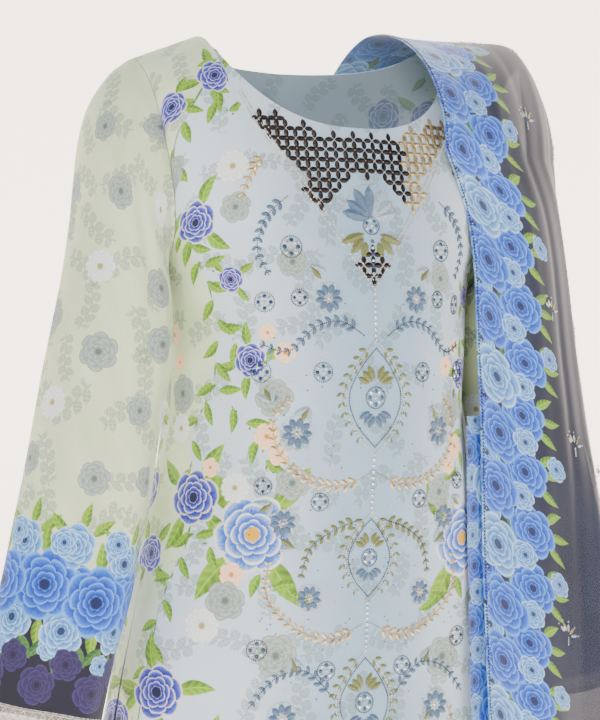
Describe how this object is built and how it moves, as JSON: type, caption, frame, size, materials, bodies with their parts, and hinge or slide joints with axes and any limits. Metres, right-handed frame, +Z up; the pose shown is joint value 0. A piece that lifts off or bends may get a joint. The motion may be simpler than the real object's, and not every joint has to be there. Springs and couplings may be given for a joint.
{
  "type": "three-piece lawn suit",
  "caption": "Worn long shirt with slit sides, straight trousers and a sheer scarf draped over the left shoulder, hollow and open at neck, cuffs and hems.",
  "frame": {"origin": "midway between the two neck points of the shirt, where the wearer's shoulders carry the set", "axes": "+Z up, -Y towards the front of the garment, +X towards the garment's left side"},
  "size_m": [0.6664, 0.2986, 1.354],
  "materials": {
    "printed_lawn": "printed cotton lawn, soft and matte, with bead and thread embroidery",
    "sleeve_lawn": "printed cotton lawn, soft and matte",
    "lace": "cotton crochet lace",
    "trouser_cambric": "plain dyed cambric, matte",
    "dupatta_organza": "sheer printed organza with a faint sheen"
  },
  "bodies": {
    "root": {"kameez_front": "printed_lawn", "kameez_back": "printed_lawn", "sleeve_left": "sleeve_lawn", "sleeve_right": "sleeve_lawn", "lace_left": "lace", "lace_right": "lace", "trouser_left": "trouser_cambric", "trouser_right": "trouser_cambric", "trouser_waistband": "trouser_cambric", "dupatta_front": "dupatta_organza", "dupatta_shoulder": "dupatta_organza", "dupatta_back": "dupatta_organza", "dupatta_fold": "dupatta_organza"}
  },
  "joints": []
}
